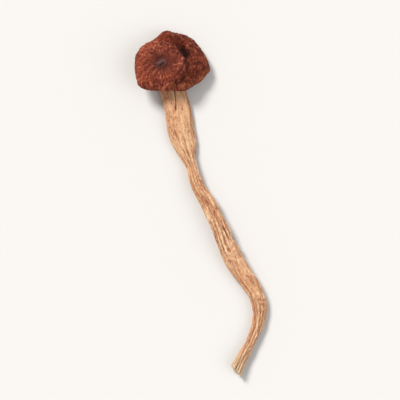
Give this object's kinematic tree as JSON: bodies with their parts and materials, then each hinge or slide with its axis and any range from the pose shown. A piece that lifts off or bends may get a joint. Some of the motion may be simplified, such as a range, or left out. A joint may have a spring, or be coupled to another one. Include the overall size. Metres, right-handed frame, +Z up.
{
  "type": "dried tea tree mushroom",
  "caption": "Dried mushroom lying on a surface: wrinkled brown cap with a sunken middle and a folded side, pale gills, and a long bent, ridged stem with a frayed cut base.",
  "frame": {"origin": "under the middle of the whole mushroom's box, on the surface that it lies on", "axes": "+Y from the cut base towards the cap, +Z up from the surface"},
  "size_m": [0.0568, 0.1517, 0.0159],
  "materials": {
    "cap_skin": "matte",
    "gill_flesh": "matte",
    "stem_fibre": "matte"
  },
  "bodies": {
    "root": {"cap": "cap_skin", "gills": "gill_flesh", "stem": "stem_fibre"}
  },
  "joints": []
}
